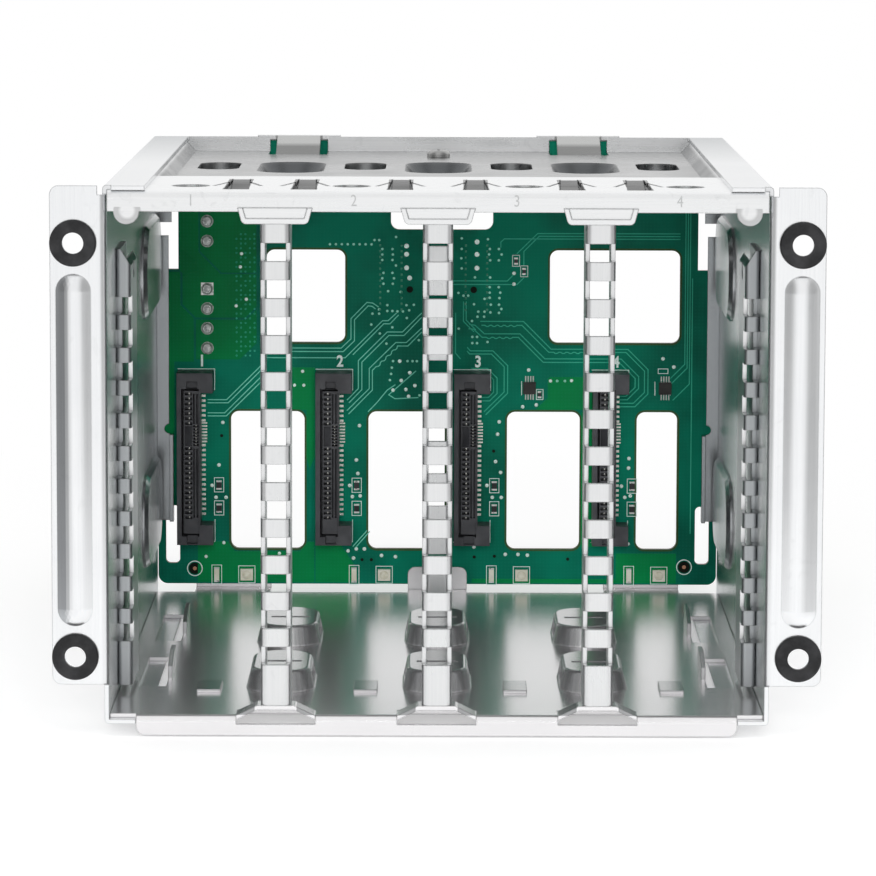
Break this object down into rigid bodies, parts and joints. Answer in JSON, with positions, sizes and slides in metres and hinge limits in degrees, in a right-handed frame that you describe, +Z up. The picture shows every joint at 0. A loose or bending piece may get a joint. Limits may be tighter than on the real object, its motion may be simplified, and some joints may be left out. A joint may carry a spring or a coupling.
{
  "type": "hot swap drive cage",
  "caption": "Open-fronted sheet steel drive cage with ladder dividers, folded mounting flanges and a connector board across the rear.",
  "frame": {"origin": "middle of the four flange holes, in the plane of the flanges' front faces", "axes": "+X to the right seen from the front, +Y into the cage from its front, +Z up"},
  "size_m": [0.1688, 0.1941, 0.1213],
  "materials": {
    "plated_steel": "bright zinc plated sheet",
    "ring_rubber": "matt black",
    "board_green": "solder mask on glass fibre",
    "connector_black": "moulded",
    "contact_gold": "plated",
    "header_plastic": "moulded",
    "tinned_pin": "tinned",
    "socket_shell": "plated",
    "light_lens": "clear resin over cream",
    "chip_black": "moulded",
    "resistor_body": "fired",
    "screw_steel": "zinc plated"
  },
  "bodies": {
    "root": {"activity_lights": "light_lens", "backplane_board": "board_green", "bus_chips": "chip_black", "chip_resistors": "resistor_body", "data_pins_left": "tinned_pin", "data_pins_right": "tinned_pin", "data_socket_left": "socket_shell", "data_socket_right": "socket_shell", "divider_center": "plated_steel", "divider_left": "plated_steel", "divider_right": "plated_steel", "drive_connector_1": "connector_black", "drive_connector_2": "connector_black", "drive_connector_3": "connector_black", "drive_connector_4": "connector_black", "drive_contacts_1": "contact_gold", "drive_contacts_2": "contact_gold", "drive_contacts_3": "contact_gold", "drive_contacts_4": "contact_gold", "fault_lights": "light_lens", "flange_ring_lower_left": "ring_rubber", "flange_ring_lower_right": "ring_rubber", "flange_ring_upper_left": "ring_rubber", "flange_ring_upper_right": "ring_rubber", "floor_pan": "plated_steel", "guide_ladder_left": "plated_steel", "guide_ladder_right": "plated_steel", "post_screw": "screw_steel", "power_header_lower": "header_plastic", "power_header_upper": "header_plastic", "power_pins_lower": "tinned_pin", "power_pins_upper": "tinned_pin", "rear_post": "plated_steel", "side_wall_left": "plated_steel", "side_wall_right": "plated_steel", "top_plate": "plated_steel"}
  },
  "joints": []
}
